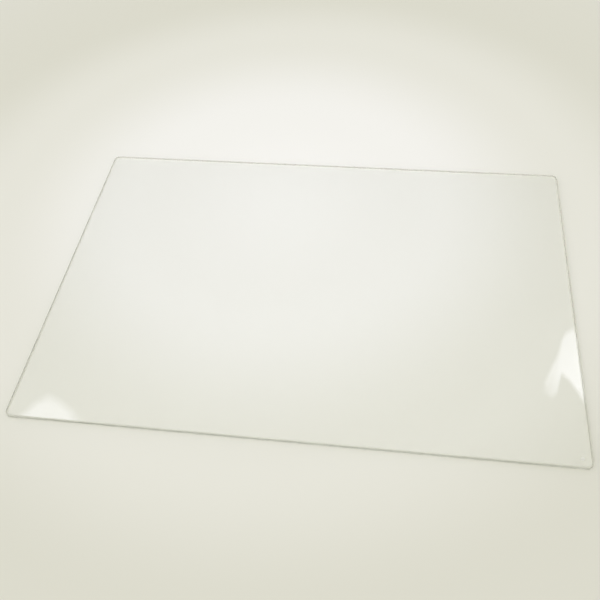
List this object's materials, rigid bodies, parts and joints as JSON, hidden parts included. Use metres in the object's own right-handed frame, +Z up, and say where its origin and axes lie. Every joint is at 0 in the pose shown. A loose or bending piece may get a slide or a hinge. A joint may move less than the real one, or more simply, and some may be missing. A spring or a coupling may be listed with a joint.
{
  "type": "refrigerator glass shelf",
  "caption": "Flat rectangular pane of clear toughened glass with rounded corners and a ground, seamed edge, laid on a refrigerator's side ledges as a lift-out shelf.",
  "frame": {"origin": "middle of the underside, on the plane that the shelf lies on", "axes": "+X along the width, to the right seen from the door; +Y along the depth, towards the back of the refrigerator; +Z up"},
  "size_m": [0.475, 0.33, 0.004],
  "materials": {
    "toughened_glass": "clear float glass with a faint green tint, bright faces and a finely ground satin edge"
  },
  "bodies": {
    "root": {"glass_pane": "toughened_glass"}
  },
  "joints": []
}
